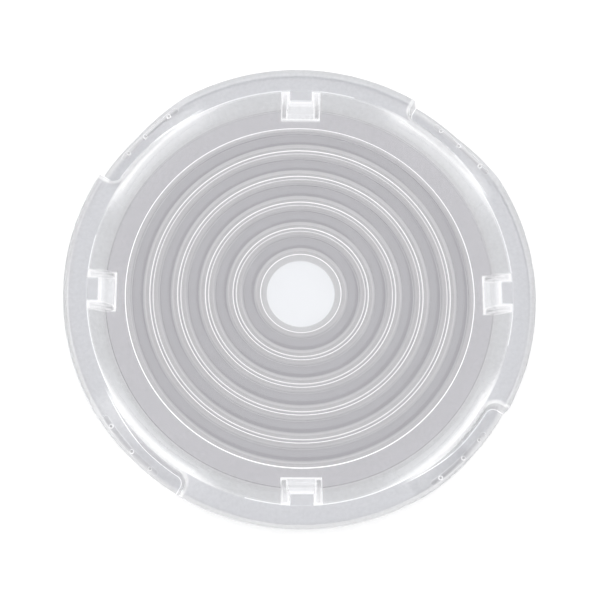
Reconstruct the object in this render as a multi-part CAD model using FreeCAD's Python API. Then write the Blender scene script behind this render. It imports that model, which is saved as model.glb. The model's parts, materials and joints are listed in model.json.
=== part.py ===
import FreeCAD, Part
import math
import os

# A one-piece moulded lens for a round LED high bay lamp, in millimetres.
# It lies on its back with its optical side up: the base of its skirt is at z = 0.
# The optical axis is Z, and the four clip bosses stand on the X and Y axes.

V = FreeCAD.Vector

# Overall
outer_d = 280.0          # across the flange, at its upper edge
height = 11.2            # base of the skirt to the flange face
wall = 2.5               # skin of the flange, the cone and the ledges
quarter = 4              # bosses and edge recesses repeat this many times round

# Zones from the edge inwards
flange_width = 15.2
cone_run = 9.0           # the cone's foot is this much inside its top
flat_width = 11.8        # gently rising zone between the cone and the ring lenses

# Clear disc at the centre, in a shallow dish
disc_r = 20.3
dish_slope = 2.9
dish_land = 0.8          # dish to the first ring
dish_depth = 0.8

# Ring lenses fill the space between the dish and the flat zone
ring_count = 5
ring_land = 2.0          # flat between two rings
ring_rise = 4.2          # crest above the feet
feet_z = 4.0             # feet above the base
plate = 2.4              # plate under the feet
ring_side = 3.0          # foot of a ring to the hollow behind it, which is for a row of LEDs
crest_wall = 3.0         # lens thickness under the crest

# Bowl
flat_rise = 0.4
cone_foot_round = 2.0
cone_top_round = 1.2

# Skirt
skirt_draft = 1.2        # its base is this much inside the flange edge
skirt = 2.6              # thickness at its base
edge_round = 1.0

# Clip bosses
boss_half_w = 11.75      # at the flange face
boss_draft = 0.7         # each side, face to plate
boss_length = 9.1        # its top face, inwards from the cone's top
boss_slope = 5.5         # run of the end slope, face to feet
boss_corner = 2.0
boss_edge = 0.7
pocket_side = 5.0        # hollow under the boss, at its roof: to the boss's side
pocket_end = 3.9         # and to the inner end of its top face
pocket_draft = 1.5

# Edge recesses, one in each quarter
recess_end_deg = 59.0    # the round end, at the ledge
recess_gap = 5.1         # cone's top to the foot of the recess's inner wall
recess_draft = 2.2       # inner wall and end wall lean back by this much
recess_corner = 5.0
ramp_low_deg = 46.5      # the ledge starts to rise here
ramp_high_deg = 28.0     # and meets the flange face here
ramp_round = 30.0
ramp_lift = 0.05         # its upper bend levels out this far over the flange face

# Rounded shoulder between a recess and the bowl
ridge_r = 3.2
ridge_drop = 0.1         # its top under the flange face
ridge_end_in = 1.4       # beside the round end, inside the cone's top
ridge_ramp_out = 0.6     # at the top of the ramp, outside it
ridge_from_deg = 24.0
ridge_to_deg = 60.0

# Slot and locating pips on each ledge
slot_inset = 3.9         # middle of the slot, inside the flange edge
slot_width = 3.2
slot_depth = 1.4
slot_from_deg = 34.0
slot_to_deg = 51.8
pip_r = 1.2
pip_degs = (36.3, 44.1, 50.2)

# Worked out: radii from the edge inwards
outer_r = outer_d / 2
base_r = outer_r - skirt_draft
slot_mid_r = outer_r - slot_inset
cone_top_r = outer_r - flange_width
recess_in_r = cone_top_r + recess_gap
ridge_end_r = cone_top_r - ridge_end_in
ridge_ramp_r = cone_top_r + ridge_ramp_out
cone_foot_r = cone_top_r - cone_run
boss_top_r = cone_top_r - boss_length
boss_foot_r = boss_top_r - boss_slope
pocket_end_r = boss_top_r + pocket_end
pocket_half_w = boss_half_w - pocket_side
last_foot_r = cone_foot_r - flat_width
dish_r = disc_r + dish_slope
first_foot_r = dish_r + dish_land
pitch = (last_foot_r + ring_land - first_foot_r) / ring_count
ring_width = pitch - ring_land
channel_width = ring_width - 2 * ring_side

# Worked out: heights and angles
plate_back_z = feet_z - plate
crest_z = feet_z + ring_rise
under_z = height - wall
ledge_z = wall           # a ledge lies on the base plane, one wall thick
cone_foot_z = feet_z + flat_rise
cone_angle = math.atan2(height - cone_foot_z, cone_top_r - cone_foot_r)
ramp_mid_deg = (ramp_low_deg + ramp_high_deg) / 2

# Reach of the cutting shapes beyond the part
margin = 20.0
far = outer_r + margin
above = height + 5.0
below = -5.0
tail_deg = 12.0          # past the top of a ramp
near = 0.01              # for comparing places


def rz(r, z):
    return V(r, 0, z)


def polar(r, deg, z=0.0):
    a = math.radians(deg)
    return V(r * math.cos(a), r * math.sin(a), z)


def arc(a, b, c):
    return Part.Arc(a, b, c).toShape()


def rounded(corners):
    """Edges of a line through the corners, each a point and its rounding radius."""
    edges = []
    start = corners[0][0]
    for i in range(1, len(corners) - 1):
        before = corners[i - 1][0]
        corner, radius = corners[i]
        after = corners[i + 1][0]
        if radius:
            u = (before - corner).normalize()
            w = (after - corner).normalize()
            half = u.getAngle(w) / 2
            reach = radius / math.tan(half)
            bisector = (u + w).normalize()
            centre = corner + bisector * (radius / math.sin(half))
            enter = corner + u * reach
            leave = corner + w * reach
            edges.append(Part.makeLine(start, enter))
            edges.append(arc(enter, centre - bisector * radius, leave))
            start = leave
        else:
            edges.append(Part.makeLine(start, corner))
            start = corner
    edges.append(Part.makeLine(start, corners[-1][0]))
    return edges


def turned(edges, degrees=360.0):
    face = Part.Face(Part.Wire(edges))
    return face.revolve(V(0, 0, 0), V(0, 0, 1), degrees)


def ring_foot(i):
    return first_foot_r + i * pitch


def cone_back(z):
    """Radius of the cone's back at a height: the front moved out by one wall."""
    front = cone_foot_r + (z - cone_foot_z) / math.tan(cone_angle)
    return front + wall / math.sin(cone_angle)


def lens_front():
    """Front line from the axis to the outermost ring's outer foot."""
    disc_z = feet_z - dish_depth
    edges = [Part.makeLine(rz(0, disc_z), rz(disc_r, disc_z))]
    edges.append(Part.makeLine(rz(disc_r, disc_z), rz(dish_r, feet_z)))
    land_start = dish_r
    for i in range(ring_count):
        foot = ring_foot(i)
        edges.append(Part.makeLine(rz(land_start, feet_z), rz(foot, feet_z)))
        crest = rz(foot + ring_width / 2, crest_z)
        edges.append(arc(rz(foot, feet_z), crest, rz(foot + ring_width, feet_z)))
        land_start = foot + ring_width
    return edges


def rim_line():
    """From the outermost ring over the bowl, flange and skirt to the plate's back."""
    flat_back_z = cone_foot_z - plate
    skirt_in_r = base_r - skirt
    lean = skirt_draft / height
    return rounded([
        (rz(last_foot_r, feet_z), 0),
        (rz(cone_foot_r, cone_foot_z), cone_foot_round),
        (rz(cone_top_r, height), cone_top_round),
        (rz(outer_r, height), edge_round),
        (rz(base_r, 0), 0),
        (rz(skirt_in_r, 0), 0),
        (rz(skirt_in_r + lean * under_z, under_z), edge_round),
        (rz(cone_back(under_z), under_z), cone_top_round),
        (rz(cone_back(flat_back_z), flat_back_z), cone_foot_round),
        (rz(last_foot_r, plate_back_z), 0),
    ])


def lens_back():
    """Back line from the outermost ring to the axis, with a channel behind each ring."""
    edges = []
    start = last_foot_r
    for i in reversed(range(ring_count)):
        middle = ring_foot(i) + ring_width / 2
        outer = middle + channel_width / 2
        inner = middle - channel_width / 2
        edges.append(Part.makeLine(rz(start, plate_back_z), rz(outer, plate_back_z)))
        roof = rz(middle, crest_z - crest_wall)
        edges.append(arc(rz(outer, plate_back_z), roof, rz(inner, plate_back_z)))
        start = inner
    edges.append(Part.makeLine(rz(start, plate_back_z), rz(0, plate_back_z)))
    edges.append(Part.makeLine(rz(0, plate_back_z), rz(0, feet_z - dish_depth)))
    return edges


def turned_body():
    return turned(lens_front() + rim_line() + lens_back())


def front_hull():
    """All that lies between the back of the bowl and the flange face."""
    inner_r = last_foot_r
    flat_back_z = cone_foot_z - plate
    return turned(Part.makePolygon([
        rz(inner_r, plate_back_z),
        rz(cone_back(flat_back_z), flat_back_z),
        rz(cone_back(under_z), under_z),
        rz(outer_r - skirt, under_z),
        rz(outer_r - skirt, height),
        rz(inner_r, height),
        rz(inner_r, plate_back_z),
    ]).Edges)


def outer_hull():
    """All that lies inside the skirt's outer face, from the base to the flange face."""
    return turned(rounded([
        (rz(0, 0), 0),
        (rz(base_r, 0), 0),
        (rz(outer_r, height), edge_round),
        (rz(0, height), 0),
        (rz(0, 0), 0),
    ]))


def rectangle(x0, x1, half_w, z):
    corners = [(x0, -half_w), (x1, -half_w), (x1, half_w), (x0, half_w), (x0, -half_w)]
    return Part.makePolygon([V(x, y, z) for x, y in corners])


def slope_r(r, z):
    """Radius at a height on the boss's end slope through r at the flange face."""
    return r - (height - z) * (boss_top_r - boss_foot_r) / (height - feet_z)


def boss_block():
    out_r = cone_back(under_z) + wall
    foot_half_w = boss_half_w + boss_draft
    top = rectangle(boss_top_r, out_r, boss_half_w, height)
    foot = rectangle(slope_r(boss_top_r, plate_back_z), out_r, foot_half_w, plate_back_z)
    block = Part.makeLoft([top, foot], True, True)
    inner = [e for e in block.Edges if e.BoundBox.ZLength > wall and e.CenterOfMass.x < boss_top_r]
    block = block.makeFillet(boss_corner, inner)
    top_edges = [e for e in block.Edges if e.BoundBox.ZMin > height - near]
    rim = [e for e in top_edges if e.CenterOfMass.x < out_r - near]
    return block.makeFillet(boss_edge, rim)


def boss_pocket():
    """The hollow under a boss, open to the back and to the space under the flange."""
    out_r = cone_back(under_z) + wall
    end_shift = pocket_end_r - slope_r(boss_top_r, under_z)
    mouth_z = below
    grow = pocket_draft * (under_z - mouth_z) / (under_z - plate_back_z)
    roof = rectangle(pocket_end_r, out_r, pocket_half_w, under_z)
    mouth = rectangle(slope_r(boss_top_r, mouth_z) + end_shift, out_r, pocket_half_w + grow, mouth_z)
    return Part.makeLoft([roof, mouth], True, True)


def recess_outline(z, offset):
    """Plan of a recess at a height, grown by the wall's lean there and by an offset."""
    grow = offset + recess_draft * (z - ledge_z) / (height - ledge_z)
    r_in = recess_in_r - grow
    corner = recess_corner + grow
    low_deg = ramp_high_deg - tail_deg
    # the end wall is square to the edge at recess_end_deg
    end = polar(1, recess_end_deg)
    side = V(-end.y, end.x, 0)
    shift = side * grow
    # rounded corner between the inner wall and the end wall
    along = math.sqrt((r_in + corner) ** 2 - (grow - corner) ** 2)
    centre = end * along + side * (grow - corner)
    touch_wall = centre * (r_in / (r_in + corner))
    touch_end = end * along + shift
    bisector = ((touch_wall - centre).normalize() + side).normalize()
    corner_mid = centre + bisector * corner
    touch_deg = math.degrees(math.atan2(touch_wall.y, touch_wall.x))
    points = [polar(r_in, low_deg), polar(r_in, (low_deg + touch_deg) / 2), touch_wall, corner_mid, touch_end]
    points += [end * far + shift, polar(far, (low_deg + recess_end_deg) / 2), polar(far, low_deg)]
    lift = V(0, 0, z)
    p = [q + lift for q in points]
    edges = [arc(p[0], p[1], p[2]), arc(p[2], p[3], p[4]), Part.makeLine(p[4], p[5])]
    edges += [Part.makeLine(p[5], p[6]), Part.makeLine(p[6], p[7]), Part.makeLine(p[7], p[0])]
    return Part.Wire(edges)


def recess_prism(offset, z0, z1):
    return Part.makeLoft([recess_outline(z0, offset), recess_outline(z1, offset)], True, True)


def ramp_line_z(deg):
    """Height of the ledge face at an angle, without the rounding of its bends."""
    t = math.sin(math.radians(deg - ramp_mid_deg))
    t_low = math.sin(math.radians(ramp_low_deg - ramp_mid_deg))
    t_high = math.sin(math.radians(ramp_high_deg - ramp_mid_deg))
    share = (t_low - t) / (t_low - t_high)
    return ledge_z + (height - ledge_z) * min(1.0, max(0.0, share))


def over_ramp(drop):
    """All that lies over the ledge's face lowered by drop, along one quarter."""
    t_low = recess_in_r * math.sin(math.radians(ramp_low_deg - ramp_mid_deg))
    t_high = recess_in_r * math.sin(math.radians(ramp_high_deg - ramp_mid_deg))
    run_out = 2 * far
    start = recess_in_r - margin
    # past its upper bend the face runs level, just clear of the flange
    top = height + ramp_lift

    def tz(t, z):
        return V(start, t, z)

    line = rounded([
        (tz(run_out, ledge_z - drop), 0),
        (tz(t_low, ledge_z - drop), ramp_round),
        (tz(t_high, top - drop), ramp_round),
        (tz(-run_out, top - drop), 0),
    ])
    line.append(Part.makeLine(tz(-run_out, top - drop), tz(-run_out, above)))
    line.append(Part.makeLine(tz(-run_out, above), tz(run_out, above)))
    line.append(Part.makeLine(tz(run_out, above), tz(run_out, ledge_z - drop)))
    solid = Part.Face(Part.Wire(line)).extrude(V(far - start, 0, 0))
    solid.rotate(V(0, 0, 0), V(0, 0, 1), ramp_mid_deg)
    return solid


def shoulder():
    """Rounded ridge along the bowl side of a recess, widest beside its round end."""
    z = height - ridge_drop - ridge_r
    a = polar(ridge_ramp_r, ridge_from_deg, z)
    b = polar((ridge_ramp_r + ridge_end_r) / 2, (ridge_from_deg + ridge_to_deg) / 2, z)
    c = polar(ridge_end_r, ridge_to_deg, z)
    path = arc(a, b, c)
    section = Part.Face(Part.Wire(Part.makeCircle(ridge_r, a, path.tangentAt(path.FirstParameter))))
    sweep = math.degrees(path.LastParameter - path.FirstParameter)
    ridge = section.revolve(path.Curve.Center, path.Curve.Axis, sweep)
    return ridge.fuse([Part.makeSphere(ridge_r, a), Part.makeSphere(ridge_r, c)])


def slot_plan():
    inner = slot_mid_r - slot_width / 2
    outer = slot_mid_r + slot_width / 2
    middle = (slot_from_deg + slot_to_deg) / 2
    end_deg = math.degrees(slot_width / 2 / slot_mid_r)
    edges = [
        arc(polar(inner, slot_from_deg), polar(inner, middle), polar(inner, slot_to_deg)),
        arc(polar(inner, slot_to_deg), polar(slot_mid_r, slot_to_deg + end_deg), polar(outer, slot_to_deg)),
        arc(polar(outer, slot_to_deg), polar(outer, middle), polar(outer, slot_from_deg)),
        arc(polar(outer, slot_from_deg), polar(slot_mid_r, slot_from_deg - end_deg), polar(inner, slot_from_deg)),
    ]
    return Part.Face(Part.Wire(edges))


def slot_tool():
    column = slot_plan()
    column.translate(V(0, 0, below))
    return column.extrude(V(0, 0, above - below)).common(over_ramp(slot_depth))


def pips():
    made = []
    for deg in pip_degs:
        top = ramp_line_z(deg)
        foot = top - slot_depth - pip_r / 2
        made.append(Part.makeCylinder(pip_r, top - foot, polar(slot_mid_r, deg, foot)))
    return made


def spun(shape, i):
    copy = shape.copy()
    copy.rotate(V(0, 0, 0), V(0, 0, 1), i * 360.0 / quarter)
    return copy


def lens():
    body = turned_body()
    boss = boss_block().common(front_hull())
    pocket = boss_pocket()
    outer = outer_hull()
    ledge = recess_prism(wall, below, height - wall / 2).common(over_ramp(ledge_z)).common(outer)
    ridge = shoulder().common(front_hull())
    recess = recess_prism(0.0, below, above).common(over_ramp(0.0))
    slot = slot_tool()
    added = []
    cut = []
    for i in range(quarter):
        added += [spun(boss, i), spun(ledge, i), spun(ridge, i)]
        cut += [spun(pocket, i), spun(recess, i), spun(slot, i)]
    body = body.fuse(added)
    body = body.cut(cut)
    body = body.fuse([spun(pip, i) for pip in pips() for i in range(quarter)])
    return body.removeSplitter()


os.makedirs("parts", exist_ok=True)
shape = lens()
solids = shape.Solids
print("solids", len(solids), "valid", shape.isValid(), "volume cm3", round(shape.Volume / 1000, 1))
print("box", shape.BoundBox)
solids[0].exportStep("parts/lens.step")
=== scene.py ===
import json
import math
import bmesh
import bpy
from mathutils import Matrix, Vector

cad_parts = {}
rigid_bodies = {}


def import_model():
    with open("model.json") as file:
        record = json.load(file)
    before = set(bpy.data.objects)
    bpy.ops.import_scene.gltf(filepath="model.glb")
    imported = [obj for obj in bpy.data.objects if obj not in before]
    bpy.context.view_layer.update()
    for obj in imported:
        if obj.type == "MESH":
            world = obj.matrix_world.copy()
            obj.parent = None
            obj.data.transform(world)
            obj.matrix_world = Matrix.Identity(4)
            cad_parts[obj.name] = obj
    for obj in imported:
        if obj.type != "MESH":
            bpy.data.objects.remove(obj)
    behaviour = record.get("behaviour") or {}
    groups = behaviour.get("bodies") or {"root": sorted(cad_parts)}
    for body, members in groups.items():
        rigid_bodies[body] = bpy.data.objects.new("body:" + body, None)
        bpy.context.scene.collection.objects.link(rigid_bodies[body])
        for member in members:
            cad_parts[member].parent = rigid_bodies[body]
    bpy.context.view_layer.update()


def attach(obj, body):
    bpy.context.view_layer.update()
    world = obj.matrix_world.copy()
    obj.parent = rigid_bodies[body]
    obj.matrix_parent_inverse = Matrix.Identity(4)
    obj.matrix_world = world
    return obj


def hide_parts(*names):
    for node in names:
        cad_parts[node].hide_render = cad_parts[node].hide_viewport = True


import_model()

scene = bpy.context.scene
mm = 0.001          # all sizes below are in millimetres
seedSize = 2 * mm   # a plane that is shrunk to a point or emptied at once
hair = 0.001        # two heights closer than this are the same


# small helpers for drawing and cutting

def deselectAll():
    if bpy.context.object and bpy.context.object.mode != "OBJECT":
        bpy.ops.object.mode_set(mode="OBJECT")
    bpy.ops.object.select_all(action="DESELECT")


def makeActive(piece):
    deselectAll()
    piece.select_set(True)
    bpy.context.view_layer.objects.active = piece


def selectWhere(test):
    # in edit mode: leaves only the points selected whose place passes the test
    bpy.ops.mesh.select_mode(type="VERT")
    bpy.ops.mesh.select_all(action="DESELECT")
    mesh = bmesh.from_edit_mesh(bpy.context.object.data)
    for point in mesh.verts:
        point.select = test(point.co / mm)
    mesh.select_flush_mode()
    bmesh.update_edit_mesh(bpy.context.object.data)


def selectEdges(test):
    # in edit mode: the same for edges, by the places of their two ends
    bpy.ops.mesh.select_mode(type="EDGE")
    bpy.ops.mesh.select_all(action="DESELECT")
    mesh = bmesh.from_edit_mesh(bpy.context.object.data)
    for edge in mesh.edges:
        edge.select = test(*[v.co / mm for v in edge.verts])
    mesh.select_flush_mode()
    bmesh.update_edit_mesh(bpy.context.object.data)


def startPoint(place):
    # in edit mode: a new plane shrunk to one point, left selected
    bpy.ops.mesh.primitive_plane_add(size=seedSize)
    bpy.ops.mesh.merge(type="CENTER")
    bpy.ops.transform.translate(value=Vector(place) * mm)


def drawOn(places):
    for before, after in zip(places, places[1:]):
        step = (Vector(after) - Vector(before)) * mm
        bpy.ops.mesh.extrude_vertices_move(TRANSFORM_OT_translate={"value": step})


def newPiece(name):
    deselectAll()
    bpy.ops.mesh.primitive_plane_add(size=seedSize)
    piece = bpy.context.object
    piece.name = name
    bpy.ops.object.mode_set(mode="EDIT")
    bpy.ops.mesh.select_mode(type="VERT")
    bpy.ops.mesh.select_all(action="SELECT")
    bpy.ops.mesh.delete(type="VERT")
    return piece


def mergeAll(distance=0.0005):
    bpy.ops.mesh.select_all(action="SELECT")
    bpy.ops.mesh.remove_doubles(threshold=distance * mm)


def faceOutwards():
    bpy.ops.mesh.select_all(action="SELECT")
    bpy.ops.mesh.normals_make_consistent(inside=False)


def spinPiece(name, outline, steps):
    # outline: (radius, height) pairs, turned once round the lens axis
    piece = newPiece(name)
    line = [(r, 0, z) for r, z in outline]
    startPoint(line[0])
    drawOn(line)
    bpy.ops.mesh.select_all(action="SELECT")
    bpy.ops.mesh.spin(steps=steps, angle=math.tau, center=(0, 0, 0), axis=(0, 0, 1))
    mergeAll()
    faceOutwards()
    bpy.ops.object.mode_set(mode="OBJECT")
    return piece


def stackLoops(name, loops):
    # closed loops at rising heights, bridged one to the next and capped
    piece = newPiece(name)
    for loop in loops:
        startPoint(loop[0])
        drawOn(list(loop) + [loop[0]])
    mergeAll()
    heights = [loop[0][2] for loop in loops]
    for low, high in zip(heights, heights[1:]):
        selectWhere(lambda p: abs(p.z - low) < hair or abs(p.z - high) < hair)
        bpy.ops.mesh.bridge_edge_loops()
    for end in (heights[0], heights[-1]):
        selectWhere(lambda p: abs(p.z - end) < hair)
        bpy.ops.mesh.edge_face_add()
    faceOutwards()
    bpy.ops.object.mode_set(mode="OBJECT")
    return piece


def combine(piece, other, how):
    makeActive(piece)
    cutter = piece.modifiers.new("combine", "BOOLEAN")
    cutter.operation = how
    cutter.solver = "MANIFOLD"
    cutter.object = other
    bpy.ops.object.modifier_apply(modifier=cutter.name)
    bpy.data.objects.remove(other)


def copyPiece(piece):
    twin = piece.copy()
    twin.data = piece.data.copy()
    bpy.context.collection.objects.link(twin)
    return twin


def roundFour(piece):
    # three more copies a quarter turn apart, all joined
    copies = [copyPiece(piece) for i in range(3)]
    for i, twin in enumerate(copies):
        twin.rotation_euler.z = (i + 1) * math.pi / 2
        makeActive(twin)
        bpy.ops.object.transform_apply(location=False, rotation=True, scale=False)
    makeActive(piece)
    for twin in copies:
        twin.select_set(True)
    bpy.ops.object.join()
    return piece


def polar(r, degrees, z=0.0):
    a = math.radians(degrees)
    return Vector((r * math.cos(a), r * math.sin(a), z))


def arcOver(left, right, rise, height, parts):
    # points of an arc that stands on two radii
    half = (right - left) / 2
    radius = (half * half + rise * rise) / (2 * rise)
    spread = math.atan2(half, radius - rise)
    points = []
    for i in range(parts + 1):
        a = -spread + 2 * spread * i / parts
        up = radius * math.cos(a) - radius + rise
        points.append((left + half + radius * math.sin(a), height + up))
    return points


def roundCorners(corners, parts=5):
    # (x, z, radius) corners to points: a corner with a radius becomes an arc
    points = [Vector(corners[0][:2])]
    for before, here, after in zip(corners, corners[1:], corners[2:]):
        corner = Vector(here[:2])
        if not here[2]:
            points.append(corner)
            continue
        u = (Vector(before[:2]) - corner).normalized()
        w = (Vector(after[:2]) - corner).normalized()
        half = u.angle(w) / 2
        centre = corner + (u + w).normalized() * (here[2] / math.sin(half))
        start = corner + u * (here[2] / math.tan(half)) - centre
        end = corner + w * (here[2] / math.tan(half)) - centre
        turn = start.angle_signed(end)
        for i in range(parts + 1):
            cos, sin = math.cos(-turn * i / parts), math.sin(-turn * i / parts)
            turned = Vector((start.x * cos - start.y * sin, start.x * sin + start.y * cos))
            points.append(centre + turned)
    points.append(Vector(corners[-1][:2]))
    return [tuple(p) for p in points]


# the turned body: disc, rings, bowl, flange and skirt

lens = {
    "edge": 140.0, "height": 11.2, "wall": 2.5, "steps": 256,
    "coneTop": 124.8, "coneFoot": 115.8, "flatRise": 0.4,
    "ringStart": 24.0, "rings": 5, "ringWidth": 14.4, "land": 2.0, "rise": 4.2,
    "feet": 4.0, "plate": 2.4, "side": 3.0, "crestWall": 3.0,
    "disc": 20.3, "dish": 23.2, "dishDepth": 0.8,
    "skirt": 2.6, "skirtDraft": 1.2, "edgeRound": 1.0, "coneTopRound": 1.2, "coneFootRound": 2.0,
    "hollowRound": 0.8, "frontParts": 20, "backParts": 12,
}
under = lens["height"] - lens["wall"]
back = lens["feet"] - lens["plate"]
coneFootZ = lens["feet"] + lens["flatRise"]
coneLean = math.atan2(lens["height"] - coneFootZ, lens["coneTop"] - lens["coneFoot"])
ringFeet = [lens["ringStart"] + i * (lens["ringWidth"] + lens["land"]) for i in range(lens["rings"])]
lastFoot = ringFeet[-1] + lens["ringWidth"]
skirtIn = lens["edge"] - lens["skirtDraft"] - lens["skirt"]
skirtLean = lens["skirtDraft"] / lens["height"]


def coneBack(z):
    # radius of the cone's back face at a height
    return lens["coneFoot"] + (z - coneFootZ) / math.tan(coneLean) + lens["wall"] / math.sin(coneLean)


def lensOutline():
    discZ = lens["feet"] - lens["dishDepth"]
    line = [(0, discZ), (lens["disc"], discZ), (lens["dish"], lens["feet"])]
    for foot in ringFeet:
        line += arcOver(foot, foot + lens["ringWidth"], lens["rise"], lens["feet"], lens["frontParts"])
    flatBack = coneFootZ - lens["plate"]
    rim = roundCorners([
        (lastFoot, lens["feet"], 0),
        (lens["coneFoot"], coneFootZ, lens["coneFootRound"]),
        (lens["coneTop"], lens["height"], lens["coneTopRound"]),
        (lens["edge"], lens["height"], lens["edgeRound"]),
        (lens["edge"] - lens["skirtDraft"], 0, 0),
        (skirtIn, 0, 0),
        (skirtIn + skirtLean * under, under, lens["edgeRound"]),
        (coneBack(under), under, lens["coneTopRound"]),
        (coneBack(flatBack), flatBack, lens["coneFootRound"]),
        (lastFoot, back, 0),
    ])
    line += rim[1:]
    hollows = [(lastFoot, back, 0)]
    for foot in reversed(ringFeet):
        left = foot + lens["side"]
        right = foot + lens["ringWidth"] - lens["side"]
        roof = lens["feet"] + lens["rise"] - lens["crestWall"] - back
        arc = arcOver(left, right, roof, back, lens["backParts"])
        hollows += [(x, z, 0 if z > back + hair else lens["hollowRound"]) for x, z in reversed(arc)]
    hollows.append((0, back, 0))
    return line + roundCorners(hollows)[1:]


body = spinPiece("lensPlate", lensOutline(), lens["steps"])
print("turned body:", len(body.data.polygons), "faces")


# clip bosses round the bowl's rim

boss = {
    "halfWidth": 11.75, "draft": 0.7, "topEnd": 115.7, "slope": 5.5,
    "corner": 2.0, "cornerParts": 6, "edge": 0.7, "edgeParts": 4,
    "pocketHalf": 6.75, "pocketDraft": 1.5, "pocketEnd": 119.6, "pocketMouth": -5.0,
}


def bowlFill():
    # the space over the middle of the bowl's skin, to keep added forms out of the hollows behind
    inset = 0.4
    flatBack = coneFootZ - lens["plate"]
    out = lens["edge"] - lens["skirt"]
    return spinPiece("bowlFill", [
        (lastFoot, back + inset), (coneBack(flatBack) - inset, flatBack + inset),
        (coneBack(under) - inset, under + inset), (out, under + inset),
        (out, lens["height"]), (lastFoot, lens["height"]), (lastFoot, back + inset),
    ], lens["steps"])


def slopeAt(r, z):
    # where the slope of a boss's end face stands at a height, if it reaches r at the top
    return r - (lens["height"] - z) * boss["slope"] / (lens["height"] - lens["feet"])


def boxLoop(x0, x1, half, z):
    return [(x0, -half, z), (x1, -half, z), (x1, half, z), (x0, half, z)]


def clipBoss():
    outer = coneBack(under) + lens["wall"]
    top = boxLoop(boss["topEnd"], outer, boss["halfWidth"], lens["height"])
    footHalf = boss["halfWidth"] + boss["draft"]
    foot = boxLoop(slopeAt(boss["topEnd"], back), outer, footHalf, back)
    piece = stackLoops("clipBoss", [foot, top])
    makeActive(piece)
    bpy.ops.object.mode_set(mode="EDIT")
    # its two upright edges, then the edges round its top
    endFace = boss["topEnd"] + hair
    selectEdges(lambda p, q: max(p.x, q.x) < endFace and abs(p.z - q.z) > hair)
    bpy.ops.mesh.bevel(offset=boss["corner"] * mm, segments=boss["cornerParts"])
    level = lens["height"] - hair
    selectEdges(lambda p, q: min(p.z, q.z) > level and min(p.x, q.x) < outer - hair)
    bpy.ops.mesh.bevel(offset=boss["edge"] * mm, segments=boss["edgeParts"])
    bpy.ops.object.mode_set(mode="OBJECT")
    return piece


def clipHollow():
    outer = coneBack(under) + lens["wall"]
    shift = boss["pocketEnd"] - slopeAt(boss["topEnd"], under)
    mouth = boss["pocketMouth"]
    grow = boss["pocketDraft"] * (under - mouth) / (under - back)
    roof = boxLoop(boss["pocketEnd"], outer, boss["pocketHalf"], under)
    mouthEnd = slopeAt(boss["topEnd"], mouth) + shift
    low = boxLoop(mouthEnd, outer, boss["pocketHalf"] + grow, mouth)
    return stackLoops("clipHollow", [low, roof])


# edge recesses: ledge, leaning wall with a rounded rim, ramp, shoulder, slot and pips

recess = {
    "end": 59.0, "inner": 129.9, "lean": 2.2, "corner": 5.0, "rim": 1.3,
    "rampLow": 46.5, "rampHigh": 28.0, "rampRound": 30.0, "rampLift": 0.05,
    "tail": 12.0, "near": 20.0, "far": 160.0, "above": 16.2, "roof": 5.0, "below": -5.0,
    "wallParts": 48, "cornerParts": 12, "rimParts": 6, "rampParts": 12,
    "ridge": 3.2, "ridgeDrop": 0.1, "ridgeEnd": 123.4, "ridgeRamp": 125.4,
    "ridgeFrom": 24.0, "ridgeTo": 60.0, "ridgeParts": 40, "ridgeSides": 32,
    "slotMiddle": 136.1, "slotWidth": 3.2, "slotDepth": 1.4, "slotFrom": 34.0, "slotTo": 51.8,
    "slotParts": 24, "slotEndParts": 8,
    "pip": 1.2, "pipRound": 0.3, "pipParts": 3, "pipSides": 24, "pipAngles": (36.3, 44.1, 50.2),
}
ledge = lens["wall"]
rampMiddle = (recess["rampLow"] + recess["rampHigh"]) / 2


def recessPlan(z, offset, leanZ=None):
    # the recess seen from above: its wall, round end and open side; leanZ is where the lean is read
    leanZ = z if leanZ is None else leanZ
    grow = offset + recess["lean"] * (leanZ - ledge) / (lens["height"] - ledge)
    inner = recess["inner"] - grow
    corner = recess["corner"] + grow
    low = recess["rampHigh"] - recess["tail"]
    end = polar(1, recess["end"])
    side = Vector((-end.y, end.x, 0))
    along = math.sqrt((inner + corner) ** 2 - (grow - corner) ** 2)
    centre = end * along + side * (grow - corner)
    touchWall = centre * (inner / (inner + corner))
    touchDegrees = math.degrees(math.atan2(touchWall.y, touchWall.x))
    parts = recess["wallParts"]
    points = [polar(inner, low + (touchDegrees - low) * i / parts) for i in range(parts)]
    a = (touchWall - centre).normalized()
    b = side
    turn = a.angle(b)
    for i in range(recess["cornerParts"] + 1):
        t = turn * i / recess["cornerParts"]
        points.append(centre + (a * math.sin(turn - t) + b * math.sin(t)) / math.sin(turn) * corner)
    # along the end wall, then round outside the lens
    for out in (lens["edge"] - 2, recess["far"]):
        points.append(end * out + side * grow)
    for degrees in ((low + recess["end"]) / 2, low):
        points.append(polar(recess["far"], degrees))
    return [(p.x, p.y, z) for p in points]


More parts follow.
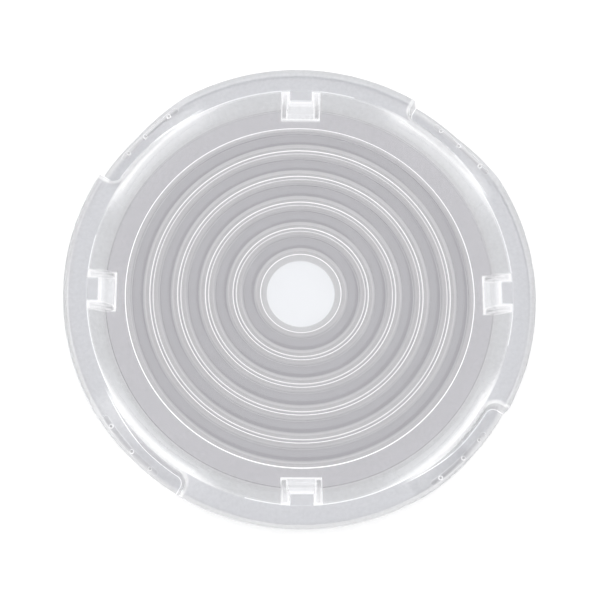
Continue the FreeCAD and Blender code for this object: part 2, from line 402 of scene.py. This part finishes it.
def overRamp(drop):
    # all that lies over the ledge's face lowered by drop
    low = recess["inner"] * math.sin(math.radians(recess["rampLow"] - rampMiddle))
    high = recess["inner"] * math.sin(math.radians(recess["rampHigh"] - rampMiddle))
    out = 2 * recess["far"]
    top = lens["height"] + recess["rampLift"]
    roof = recess["above"] + recess["roof"]
    line = roundCorners([
        (out, ledge - drop, 0), (low, ledge - drop, recess["rampRound"]),
        (high, top - drop, recess["rampRound"]), (-out, top - drop, 0),
        (-out, roof, 0), (out, roof, 0), (out, ledge - drop, 0),
    ], parts=recess["rampParts"])
    ray = polar(1, rampMiddle)
    across = Vector((-ray.y, ray.x, 0))
    near = recess["inner"] - recess["near"]
    places = [ray * near + across * t + Vector((0, 0, z)) for t, z in line]
    piece = newPiece("overRamp")
    startPoint(places[0])
    drawOn(places)
    mergeAll()
    bpy.ops.mesh.edge_face_add()
    reach = ray * (recess["far"] - near) * mm
    bpy.ops.mesh.extrude_region_move(TRANSFORM_OT_translate={"value": reach})
    faceOutwards()
    bpy.ops.object.mode_set(mode="OBJECT")
    return piece


def recessCut():
    # the leaning wall up to its rim, then the rim's rounding as a stack of wider loops
    rim = recess["rim"]
    rimFoot = lens["height"] - rim
    loops = [recessPlan(recess["below"], 0), recessPlan(rimFoot, 0)]
    for i in range(1, recess["rimParts"] + 1):
        a = math.pi / 2 * i / recess["rimParts"]
        loops.append(recessPlan(rimFoot + rim * math.sin(a), rim * (1 - math.cos(a)), rimFoot))
    loops.append(recessPlan(recess["above"], rim, rimFoot))
    piece = stackLoops("recessCut", loops)
    combine(piece, overRamp(0.0), "INTERSECT")
    return piece


def skirtFill():
    # all inside the skirt's outer face, a little within it and over its base
    inset = 0.3
    foot = 0.02
    top = lens["height"] + 1
    return spinPiece("skirtFill", [
        (0, foot), (lens["edge"] - lens["skirtDraft"] - inset, foot),
        (lens["edge"] - inset, top), (0, top)], lens["steps"])


def ledgeSlab():
    # the wall's thickness round and under the recess
    piece = stackLoops("ledgeSlab", [
        recessPlan(recess["below"], lens["wall"]),
        recessPlan(lens["height"] - lens["wall"] / 2, lens["wall"])])
    combine(piece, overRamp(ledge), "INTERSECT")
    combine(piece, skirtFill(), "INTERSECT")
    return piece


def shoulder():
    # a round bar turned along the arc through a, b and c, a little off the lens axis
    radius = recess["ridge"]
    z = lens["height"] - recess["ridgeDrop"] - radius
    a = polar(recess["ridgeRamp"], recess["ridgeFrom"], z)
    middleR = (recess["ridgeRamp"] + recess["ridgeEnd"]) / 2
    b = polar(middleR, (recess["ridgeFrom"] + recess["ridgeTo"]) / 2, z)
    c = polar(recess["ridgeEnd"], recess["ridgeTo"], z)
    d = 2 * (a.x * (b.y - c.y) + b.x * (c.y - a.y) + c.x * (a.y - b.y))
    aa, bb, cc = [p.x ** 2 + p.y ** 2 for p in (a, b, c)]
    centre = Vector(((aa * (b.y - c.y) + bb * (c.y - a.y) + cc * (a.y - b.y)) / d,
                     (aa * (c.x - b.x) + bb * (a.x - c.x) + cc * (b.x - a.x)) / d, z))
    start = math.atan2(a.y - centre.y, a.x - centre.x)
    end = math.atan2(c.y - centre.y, c.x - centre.x)
    deselectAll()
    sides = recess["ridgeSides"]
    bpy.ops.mesh.primitive_circle_add(
        vertices=sides, radius=radius * mm, location=a * mm, rotation=(math.pi / 2, 0, start))
    piece = bpy.context.object
    bpy.ops.object.transform_apply(location=True, rotation=True, scale=True)
    bpy.ops.object.mode_set(mode="EDIT")
    bpy.ops.mesh.select_all(action="SELECT")
    bpy.ops.mesh.spin(
        steps=recess["ridgeParts"], angle=start - end, center=centre * mm, axis=(0, 0, 1))
    bpy.ops.mesh.select_all(action="SELECT")
    bpy.ops.mesh.fill_holes(sides=0)
    faceOutwards()
    bpy.ops.object.mode_set(mode="OBJECT")
    shrink = 0.999      # keeps the round ends just inside the bar
    for place in (a, c):
        deselectAll()
        bpy.ops.mesh.primitive_uv_sphere_add(
            segments=sides, ring_count=sides // 2, radius=radius * mm * shrink, location=place * mm)
        ball = bpy.context.object
        bpy.ops.object.transform_apply(location=True, rotation=True, scale=True)
        combine(piece, ball, "UNION")
    return piece


def ledgeSlot():
    # a groove along the ledge with round ends
    half = recess["slotWidth"] / 2
    parts, endParts = recess["slotParts"], recess["slotEndParts"]
    steps = [(recess["slotTo"] - recess["slotFrom"]) / parts * i for i in range(parts + 1)]
    inner = [polar(recess["slotMiddle"] - half, recess["slotFrom"] + step) for step in steps]
    outer = [polar(recess["slotMiddle"] + half, recess["slotTo"] - step) for step in steps]
    ends = []
    for degrees, way in ((recess["slotTo"], 1), (recess["slotFrom"], -1)):
        middle = polar(recess["slotMiddle"], degrees)
        out = polar(1, degrees)
        side = Vector((-out.y, out.x, 0)) * way
        turns = [math.pi * i / endParts for i in range(1, endParts)]
        ends.append([middle + (out * -way * math.cos(a) + side * math.sin(a)) * half for a in turns])
    plan = inner + ends[0] + outer + ends[1]
    levels = (recess["below"], recess["above"])
    piece = stackLoops("ledgeSlot", [[(p.x, p.y, z) for p in plan] for z in levels])
    combine(piece, overRamp(recess["slotDepth"]), "INTERSECT")
    return piece


def rampFace(degrees):
    # height of the ledge or ramp at an angle
    angles = (degrees, recess["rampLow"], recess["rampHigh"])
    t, low, high = [math.sin(math.radians(v - rampMiddle)) for v in angles]
    share = min(1.0, max(0.0, (low - t) / (low - high)))
    return ledge + (lens["height"] - ledge) * share


def ledgePips():
    made = []
    for degrees in recess["pipAngles"]:
        top = rampFace(degrees)
        depth = recess["slotDepth"] + recess["pip"] / 2
        place = polar(recess["slotMiddle"], degrees, top - depth / 2)
        deselectAll()
        bpy.ops.mesh.primitive_cylinder_add(
            vertices=recess["pipSides"], radius=recess["pip"] * mm, depth=depth * mm,
            location=place * mm)
        pin = bpy.context.object
        bpy.ops.object.transform_apply(location=True, rotation=True, scale=True)
        bpy.ops.object.mode_set(mode="EDIT")
        selectWhere(lambda p: p.z > top - hair)
        bpy.ops.mesh.bevel(offset=recess["pipRound"] * mm, segments=recess["pipParts"])
        bpy.ops.object.mode_set(mode="OBJECT")
        made.append(pin)
    makeActive(made[0])
    for pin in made:
        pin.select_set(True)
    bpy.ops.object.join()
    return bpy.context.object


fill = bowlFill()
clips = roundFour(clipBoss())
combine(clips, copyPiece(fill), "INTERSECT")
combine(body, clips, "UNION")
print("clip bosses:", len(body.data.polygons), "faces")
combine(body, roundFour(ledgeSlab()), "UNION")
ridges = roundFour(shoulder())
combine(ridges, fill, "INTERSECT")
combine(body, ridges, "UNION")
print("ledges and shoulders:", len(body.data.polygons), "faces")
combine(body, roundFour(clipHollow()), "DIFFERENCE")
combine(body, roundFour(recessCut()), "DIFFERENCE")
combine(body, roundFour(ledgeSlot()), "DIFFERENCE")
combine(body, roundFour(ledgePips()), "UNION")
print("hollows, recesses, slots and pips:", len(body.data.polygons), "faces")

# points this close are merged, and a bend of this many degrees stays an edge
finish = {"merge": 0.0002, "sharpFrom": 28.0}
makeActive(body)
bpy.ops.object.mode_set(mode="EDIT")
mergeAll(finish["merge"])
bpy.ops.object.mode_set(mode="OBJECT")
bpy.ops.object.shade_smooth_by_angle(angle=math.radians(finish["sharpFrom"]))
# the big faces lead the shading, and the slivers along the cuts follow
fair = body.modifiers.new("fairNormals", "WEIGHTED_NORMAL")
fair.keep_sharp = True
bpy.ops.object.modifier_apply(modifier=fair.name)
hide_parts("lens")
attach(body, "root")


# shader maths as plain expressions

class Value:
    def __init__(self, paint, socket):
        self.paint = paint
        self.socket = socket

    def __add__(self, other):
        return self.paint.calc("ADD", self, other)

    __radd__ = __add__

    def __sub__(self, other):
        return self.paint.calc("SUBTRACT", self, other)

    def __rsub__(self, other):
        return self.paint.calc("SUBTRACT", other, self)

    def __mul__(self, other):
        return self.paint.calc("MULTIPLY", self, other)

    __rmul__ = __mul__

    def __truediv__(self, other):
        return self.paint.calc("DIVIDE", self, other)

    def __rtruediv__(self, other):
        return self.paint.calc("DIVIDE", other, self)


class Paint:
    def __init__(self, owner):
        owner.use_nodes = True
        self.tree = owner.node_tree
        self.tree.nodes.clear()

    def add(self, kind, settings=None, sockets=None):
        node = self.tree.nodes.new(kind)
        for name, value in (settings or {}).items():
            setattr(node, name, value)
        for name, value in (sockets or {}).items():
            socket = node.inputs[name]
            if isinstance(value, Value):
                value = value.socket
            elif isinstance(value, bpy.types.Node):
                value = value.outputs[0]
            if isinstance(value, bpy.types.NodeSocket):
                self.tree.links.new(value, socket)
            else:
                socket.default_value = value
        return node

    def out(self, node, name=0):
        return Value(self, node.outputs[name])

    def calc(self, operation, *values):
        return self.out(self.add("ShaderNodeMath", {"operation": operation}, dict(enumerate(values))))


# the clear moulding's tones and gloss

moulding = {
    "bend": 1.05, "gloss": 0.03, "frost": 0.35, "innerFrost": 0.42, "coatBend": 1.58, "coatGloss": 0.05,
    # the line glow sets how brightly the painted highlight lines glow
    "grain": 0.35, "grainScale": 450.0, "bowlGrain": 0.6, "highlightGlow": 0.75, "footLight": 0.6,
    "disc": (0.775, 0.785, 0.805), "dishRing": (0.57, 0.57, 0.585),
    # the seam tone is painted shade, a dark line in the groove between two rings
    "ringDark": (0.443, 0.438, 0.462), "ringLight": (0.595, 0.59, 0.605), "seamShade": (0.44, 0.43, 0.46),
    # the step line's tone is painted shade, and the bright cone tone is painted light near a recess
    "flat": (0.53, 0.525, 0.55), "stepShadeLine": (0.36, 0.355, 0.375),
    "coneStep": (0.66, 0.66, 0.675), "cone": (0.665, 0.67, 0.685), "coneLitNearRecess": (0.79, 0.795, 0.81),
    # the shoulder tone is a painted highlight on the shoulders and round each recess's rim, and also
    # lightens the steep hollow feet
    "shoulder": (0.97, 0.97, 0.975), "flange": (0.575, 0.58, 0.605), "rim": (0.49, 0.495, 0.51),
    "back": (0.93, 0.93, 0.94), "skirtFace": (0.72, 0.725, 0.745), "recessWall": (0.60, 0.60, 0.615),
    # the ramp tone is painted light, made lighter to offset the shade on the floor under the ramp
    "ramp": (0.66, 0.665, 0.685), "slot": (0.55, 0.55, 0.57), "pip": (0.45, 0.45, 0.46),
    # the boss edge tone is a painted highlight
    "bossEdgeHighlight": (0.95, 0.95, 0.96), "bossSlope": (0.82, 0.825, 0.84), "bossWedge": (0.56, 0.56, 0.575),
}

# where the tones change, past the edge that each follows: millimetres, and degrees round the lens
zone = {
    "dishEdge": -0.2, "seamInset": 0.7, "flatEdge": 0.3, "coneFade": (0.0, 4.0), "lip": 1.4,
    "rampFade": (-2.0, 5.0), "rampFoot": 1.0, "recessEnd": 16.0,
    "ridgeFade": (-8.0, 12.0), "endFade": (-1.0, 12.0), "shoulderFade": (-1.8, 1.0),
    "shoulderStart": 0.4, "shoulderDrift": 0.05, "shoulderEdge": 1.6,
    "rimBand": 2.7, "rimEdge": 0.5, "brightFade": (-2.6, -1.2), "wallEdge": 0.1, "pipTop": 0.7,
    "bossSide": 0.3, "bossFoot": 0.9, "cheek": 0.4, "cheekSpread": 0.8, "slopeTop": 1.8,
    "wedgeIn": 1.5, "wedgeInSpread": 0.7, "wedgeOut": 1.1, "wedgeOutSpread": 0.5,
    "wedgeFoot": 0.8, "wedgeTop": 0.6, "wedgeFaint": 0.35, "tabSide": 0.1,
    "hollowTop": 0.2, "innerFrom": 3.0, "innerDepth": 1.3, "innerEdge": 0.2, "inWall": 0.3,
    "mattShift": 3.0,
    "skirtIn": 1.2, "skirtOnLedge": 2.4, "skirtTop": 0.5, "skirtInWall": 7.4, "skirtFace": 0.4,
    "coneLine": 1.2, "ledgeLine": 0.25, "pipLine": 0.05,
    "ringMargin": 1.0, "ringDepth": 0.6,
}
# how strong the fainter painted highlight lines are, and the heights over which two kinds are drawn
fine = {
    "outerFoot": 0.8, "lastFoot": 0.35, "cone": 0.6, "slot": 0.35,
    "coneOver": 10.0, "ledgeOver": 1.5,
}
tilts = (0.75, 0.97)        # upright part of the normal at which a face counts as steep, and as level


def paintLens():
    material = bpy.data.materials.new("clearMoulding")
    paint = Paint(material)

    def mix(mask, low, high):
        low, high = [(*moulding[c], 1) if isinstance(c, str) else c for c in (low, high)]
        node = paint.add("ShaderNodeMix", {"data_type": "RGBA"}, {0: mask, 6: low, 7: high})
        return paint.out(node, 2)

    def rise(value, start, end):
        # 0 before start and 1 past end, soft between
        node = paint.add(
            "ShaderNodeMapRange", {"interpolation_type": "SMOOTHSTEP"}, {0: value, 1: start, 2: end})
        return paint.out(node)

    def fade(value, edge, span):
        return rise(value, edge + span[0], edge + span[1])

    def past(value, edge, soft=0.25):
        return rise(value - edge, -soft, soft)

    def band(value, low, high, soft=0.25):
        return past(value, low, soft) * (1 - past(value, high, soft))

    def line(value, middle, half=0.16, soft=0.2):
        return band(value, middle - half, middle + half, soft)

    def atLeast(a, b):
        return paint.calc("MAXIMUM", a, b)

    def atMost(a, b):
        return paint.calc("MINIMUM", a, b)

    place = paint.add("ShaderNodeTexCoord")
    split = paint.add("ShaderNodeSeparateXYZ", {}, {0: place.outputs["Object"]})
    x, y, z = [paint.out(split, i) * (1 / mm) for i in range(3)]
    r = paint.calc("SQRT", x * x + y * y)
    quarters = paint.calc("ARCTAN2", y, x) * (2 / math.pi) + 4     # one whole turn more, so above 0
    degrees = paint.calc("FRACT", quarters) * 90      # angle within a quarter, a clip at 0 and 90
    ax, ay = paint.calc("ABSOLUTE", x), paint.calc("ABSOLUTE", y)
    u = atLeast(ax, ay)                               # outwards along a clip
    v = atMost(ax, ay)                                # across it
    geometry = paint.add("ShaderNodeNewGeometry")
    lean = paint.add("ShaderNodeSeparateXYZ", {}, {0: geometry.outputs["Normal"]})
    level = paint.calc("ABSOLUTE", paint.out(lean, 2))

    # rings: lighter flanks, darker over the hollow behind, and a dark line of painted shade in the
    # groove between two rings
    pitch = lens["ringWidth"] + lens["land"]
    whole = 10 * pitch                                # added to keep the place in a ring above 0
    phase = paint.calc("FRACT", (r - lens["ringStart"] + whole) / pitch) * pitch
    hollow = band(phase, lens["side"], lens["ringWidth"] - lens["side"], soft=0.4)
    seamShade = band(phase, lens["ringWidth"] + zone["seamInset"], pitch - zone["seamInset"], soft=0.2)
    tone = mix(hollow, "ringLight", "ringDark")
    # painted shade: a thin dark line in the groove between two rings
    tone = mix(seamShade, tone, "seamShade")
    tone = mix(past(r, lens["ringStart"] + zone["dishEdge"]), "dishRing", tone)
    tone = mix(past(r, lens["disc"]), "disc", tone)

    # depth into a recess: 0 at the foot of its leaning wall, less up the wall and on the flange
    corner = recess["corner"]
    fromWall = atLeast(corner + recess["inner"] - r, 0.0)
    toEnd = (recess["end"] - degrees) * math.radians(1)
    fromEnd = atLeast(corner - r * paint.calc("SINE", toEnd), 0.0)
    depth = corner - paint.calc("SQRT", fromWall * fromWall + fromEnd * fromEnd)
    inRecess = fade(degrees, recess["rampHigh"], zone["rampFade"])
    inRecess = inRecess * (1 - past(degrees, recess["end"] + zone["recessEnd"]))
    rampShare = rise(degrees, recess["rampLow"] + zone["rampFoot"], recess["rampHigh"])
    wallTop = -recess["lean"]
    wallFoot = wallTop * rampShare

    # flat zone and cone, with painted light that makes the cone lighter near a recess, and a thin dark
    # line of painted shade at the step between them
    onFlange = lens["coneTop"] + zone["lip"]
    bossFoot = boss["topEnd"] - boss["slope"]
    bossHere = past(u, bossFoot - zone["bossFoot"]) * (1 - past(r, onFlange))
    bossHere = bossHere * (1 - past(v, boss["halfWidth"] + zone["bossSide"]))
    recessHere = fade(degrees, recess["ridgeFrom"], zone["ridgeFade"])
    recessHere = recessHere * (1 - fade(degrees, recess["end"], zone["endFade"]))
    climb = rise(r, lens["coneFoot"], lens["coneTop"])
    cone = mix(fade(r, lens["coneFoot"], zone["coneFade"]), "coneStep", "cone")
    # painted light: the cone lighter towards its top near a recess
    cone = mix(recessHere * climb, cone, "coneLitNearRecess")
    tone = mix(past(r, lastFoot + zone["flatEdge"]), tone, "flat")
    tone = mix(past(r, lens["coneFoot"], soft=0.15), tone, cone)
    # painted shade: a thin dark line in the crease at the cone's foot
    tone = mix(line(r, lens["coneFoot"], half=0.2), tone, "stepShadeLine")

    # the shoulder, painted as a bright highlight band, which comes a little further in towards the
    # recess's end
    drift = recessHere * (degrees - recess["ridgeFrom"]) * zone["shoulderDrift"]
    shoulderIn = lens["coneTop"] + zone["shoulderStart"] - drift
    onShoulder = recessHere * fade(r - shoulderIn, 0.0, zone["shoulderFade"])
    onShoulder = onShoulder * (1 - past(r, lens["coneTop"] + zone["shoulderEdge"]))
    # painted highlight: the bright band on the shoulder
    tone = mix(onShoulder, tone, "shoulder")

    # flange, its rim, and the recess: a painted highlight round its edge, a grey leaning wall, the
    # frosted ledge
    flange = past(r, onFlange, soft=0.3)
    tone = mix(flange, tone, "flange")
    onRim = past(r, lens["edge"] - zone["rimBand"], soft=0.7)
    onRim = onRim * (1 - past(r, lens["edge"] - zone["rimEdge"], soft=0.2))
    tone = mix(onRim, tone, "rim")
    belowRim = past(depth, wallTop + zone["wallEdge"], soft=0.3)
    # painted highlight: a bright band above each recess's wall
    tone = mix(inRecess * fade(depth, wallTop, zone["brightFade"]) * (1 - belowRim), tone, "shoulder")
    onWall = inRecess * belowRim * (1 - past(depth - wallFoot, -zone["wallEdge"]))
    tone = mix(onWall, tone, "recessWall")
    onLedge = inRecess * past(depth - wallFoot, 0.0)
    # painted light: the ramp made lighter to offset the shade cast on the floor under it
    tone = mix(onLedge * rampShare, tone, "ramp")
    out = r - recess["slotMiddle"]
    beyond = atLeast(recess["slotFrom"] - degrees, degrees - recess["slotTo"])
    beyond = atLeast(beyond, 0.0) * math.radians(recess["slotMiddle"])
    fromSlot = paint.calc("SQRT", out * out + beyond * beyond) - recess["slotWidth"] / 2
    tone = mix(onLedge * (1 - past(fromSlot, 0.0)), tone, "slot")

    # pips: their darker tops; the bright ring round each is a painted highlight, drawn with the lines
    # below
    along = [(degrees - angle) * math.radians(recess["slotMiddle"]) for angle in recess["pipAngles"]]
    away = [paint.calc("SQRT", s * s + out * out) for s in along]
    nearest = atMost(atMost(away[0], away[1]), away[2])
    tone = mix(onLedge * (1 - past(nearest, zone["pipTop"])), tone, "pip")

    # clip bosses: painted highlights along the edges, a grey wedge in each cheek, a duller slope, the
    # tab as the flange
    spread = rise(u, lens["coneTop"], bossFoot)
    cheek = past(v, boss["pocketHalf"] + zone["cheek"] + spread * zone["cheekSpread"])
    slope = band(u, bossFoot, boss["topEnd"] + zone["slopeTop"], soft=0.3) * (1 - cheek)
    wedgeIn = v - spread * zone["wedgeInSpread"]
    wedgeOut = v - spread * zone["wedgeOutSpread"]
    wedge = past(wedgeIn, boss["pocketHalf"] + zone["wedgeIn"], soft=0.3)
    wedge = wedge * (1 - past(wedgeOut, boss["halfWidth"] - zone["wedgeOut"], soft=0.3))
    wedge = wedge * band(u, bossFoot + zone["wedgeFoot"], lens["coneTop"] - zone["wedgeTop"], soft=0.5)
    wedge = wedge * (zone["wedgeFaint"] + (1 - zone["wedgeFaint"]) * spread)
    tab = past(u, boss["pocketEnd"]) * (1 - past(v, boss["pocketHalf"] - zone["tabSide"]))
    # painted highlight on the bosses' edges
    clip = mix(slope, "bossEdgeHighlight", "bossSlope")
    clip = mix(wedge, clip, "bossWedge")
    clip = mix(tab, clip, "flange")
    tone = mix(bossHere, tone, clip)

    # the skirt and the steep feet of the hollows stay light, so that a tone counts once
    tilted = 1 - rise(level, *tilts)
    steep = tilted * (1 - past(z, lens["feet"] - zone["hollowTop"]))
    steep = steep * band(r, lens["ringStart"], lastFoot)
    coneZ = (r - lens["coneFoot"]) * math.tan(coneLean) + coneFootZ
    skin = atMost(coneZ, lens["height"])
    inner = recessHere * past(r, lens["coneFoot"] + zone["innerFrom"])       # back faces near a recess
    inner = inner * (1 - past(z - skin, -zone["innerDepth"], soft=0.4))
    inner = inner * (1 - past(depth, wallTop - zone["innerEdge"]))
    inWall = inRecess * past(depth, wallTop + zone["inWall"])
    skirt = past(r, skirtIn - zone["skirtIn"] + onLedge * zone["skirtOnLedge"], soft=0.6)
    skirt = skirt * (1 - past(z, under - zone["skirtTop"] - inWall * zone["skirtInWall"]))
    tone = mix(skirt, tone, "back")
    skirtOut = tilted * past(r, lens["edge"] - lens["skirtDraft"] - zone["skirtFace"], soft=0.2)
    tone = mix(skirtOut, tone, "skirtFace")
    tone = mix(steep * moulding["footLight"], tone, "shoulder")

    # matt on the flange and the shoulders' outer side, so that no gloss edge crosses a recess's rim
    matt = past(r, onFlange - zone["mattShift"] * recessHere, soft=0.3) * (1 - inner)
    roughness = atLeast(matt * moulding["frost"], inner * moulding["innerFrost"]) + moulding["gloss"]

    # fine grain of the frosted flange, fainter on the flat zone and the cone
    frosted = moulding["bowlGrain"] + (1 - moulding["bowlGrain"]) * flange
    frosted = past(r, lastFoot + zone["flatEdge"]) * frosted
    grain = paint.add("ShaderNodeTexNoise", {}, {
        "Vector": place.outputs["Object"], "Scale": moulding["grainScale"], "Detail": 3.0})
    speck = 1 - (paint.out(grain) - 0.5) * moulding["grain"] * frosted
    shade = paint.add("ShaderNodeCombineXYZ", {}, {0: speck, 1: speck, 2: speck})
    grained = paint.add("ShaderNodeVectorMath", {"operation": "MULTIPLY"}, {0: tone, 1: shade})

    # painted highlights: bright lines that glow where faces meet, some fainter than others
    feet = line(phase, 0.0) + line(phase, pitch) + line(phase, lens["ringWidth"]) * fine["outerFoot"]
    feet = feet * band(r, lens["ringStart"] - zone["ringMargin"], lastFoot + zone["ringMargin"])
    feet = feet * past(z, lens["feet"] - zone["ringDepth"])
    feet = feet + line(r, lastFoot, half=0.25) * fine["lastFoot"]
    coneLine = line(r, lens["coneTop"] + zone["coneLine"], half=0.2) * fine["cone"]
    coneLine = coneLine * (1 - bossHere) * (1 - inRecess) * past(z, fine["coneOver"])
    ledgeLine = line(depth - wallFoot, zone["ledgeLine"], half=0.12) * inRecess
    slotLine = line(fromSlot, 0.0, half=0.1) * onLedge * fine["slot"]
    pips = line(nearest, recess["pip"] - zone["pipLine"], half=0.12) * onLedge
    inRecessLines = (ledgeLine + slotLine + pips) * past(z, fine["ledgeOver"])
    glow = atMost(feet + coneLine + inRecessLines, 1.0)
    # painted highlights: these lines glow by emission on the plastic
    paintedHighlights = paint.add("ShaderNodeCombineXYZ", {}, {0: glow, 1: glow, 2: glow})

    # no coat on the steep faces inside, where it would mirror again and again
    bare = atLeast(steep, atLeast(inner, skirt * (1 - skirtOut)) * tilted)
    shader = paint.add("ShaderNodeBsdfPrincipled", {}, {
        "Base Color": grained, "Roughness": roughness,
        "IOR": moulding["bend"], "Transmission Weight": 1.0, "Coat Weight": 1 - bare,
        "Coat IOR": moulding["coatBend"], "Coat Roughness": moulding["coatGloss"],
        "Emission Color": paintedHighlights, "Emission Strength": moulding["highlightGlow"]})
    paint.add("ShaderNodeOutputMaterial", {}, {"Surface": shader.outputs[0]})
    return material


body.data.materials.clear()
body.data.materials.append(paintLens())
print("materials done")


# floor, light and camera

studio = {
    "floor": (0.55, 0.55, 0.55, 1), "floorSize": 6.0, "floorGlow": 0.55,
    "world": 0.75, "worldSeen": 1.0, "overhead": 9.0, "overheadSize": 1.6,
    "overheadPlace": (-0.2, 0.3, 1.3), "overheadTurn": (-10, -8, 0),
    "camera": (-38.92, -192.36, 783.88), "turn": (13.556, -2.790, -0.122),
    "lensLength": 81.0, "sensor": 36.0, "clip": 0.05,
}


def seenRays(paint):
    # 1 for rays that show a background: straight, mirrored or through the clear plastic
    path = paint.add("ShaderNodeLightPath")
    total = paint.out(path, "Is Camera Ray") + paint.out(path, "Is Glossy Ray")
    return paint.calc("MINIMUM", total + paint.out(path, "Is Transmission Ray"), 1.0)


def makeFloor():
    deselectAll()
    bpy.ops.mesh.primitive_plane_add(size=studio["floorSize"])
    floor = bpy.context.object
    floor.name = "floor"
    material = bpy.data.materials.new("paleFloor")
    paint = Paint(material)
    matt = paint.add("ShaderNodeBsdfDiffuse", {}, {"Color": studio["floor"]})
    glow = paint.add("ShaderNodeEmission", {}, {"Strength": seenRays(paint) * studio["floorGlow"]})
    both = paint.add("ShaderNodeAddShader", {}, {0: matt.outputs[0], 1: glow.outputs[0]})
    paint.add("ShaderNodeOutputMaterial", {}, {"Surface": both.outputs[0]})
    floor.data.materials.append(material)


def makeWorld():
    world = scene.world or bpy.data.worlds.new("studio")
    scene.world = world
    paint = Paint(world)
    lit = paint.add("ShaderNodeBackground", {}, {"Strength": studio["world"]})
    seen = paint.add("ShaderNodeBackground", {}, {"Strength": studio["worldSeen"]})
    for node in (lit, seen):
        node.inputs["Color"].default_value = (1, 1, 1, 1)
    mixed = paint.add("ShaderNodeMixShader", {}, {
        0: seenRays(paint), 1: lit.outputs[0], 2: seen.outputs[0]})
    paint.add("ShaderNodeOutputWorld", {}, {"Surface": mixed.outputs[0]})


def makeLamp():
    lamp = bpy.data.lights.new("overhead", "AREA")
    lamp.shape = "SQUARE"
    lamp.size = studio["overheadSize"]
    lamp.energy = studio["overhead"]
    holder = bpy.data.objects.new("overhead", lamp)
    holder.location = studio["overheadPlace"]
    holder.rotation_euler = [math.radians(v) for v in studio["overheadTurn"]]
    scene.collection.objects.link(holder)


def makeCamera():
    camera = bpy.data.cameras.new("camera")
    camera.lens = studio["lensLength"]
    camera.sensor_width = studio["sensor"]
    camera.clip_start = studio["clip"]
    holder = bpy.data.objects.new("camera", camera)
    holder.location = Vector(studio["camera"]) * mm
    holder.rotation_euler = [math.radians(v) for v in studio["turn"]]
    scene.collection.objects.link(holder)
    scene.camera = holder


makeFloor()
makeWorld()
makeLamp()
makeCamera()
scene.view_settings.view_transform = "Standard"
print("stage, light and camera done")
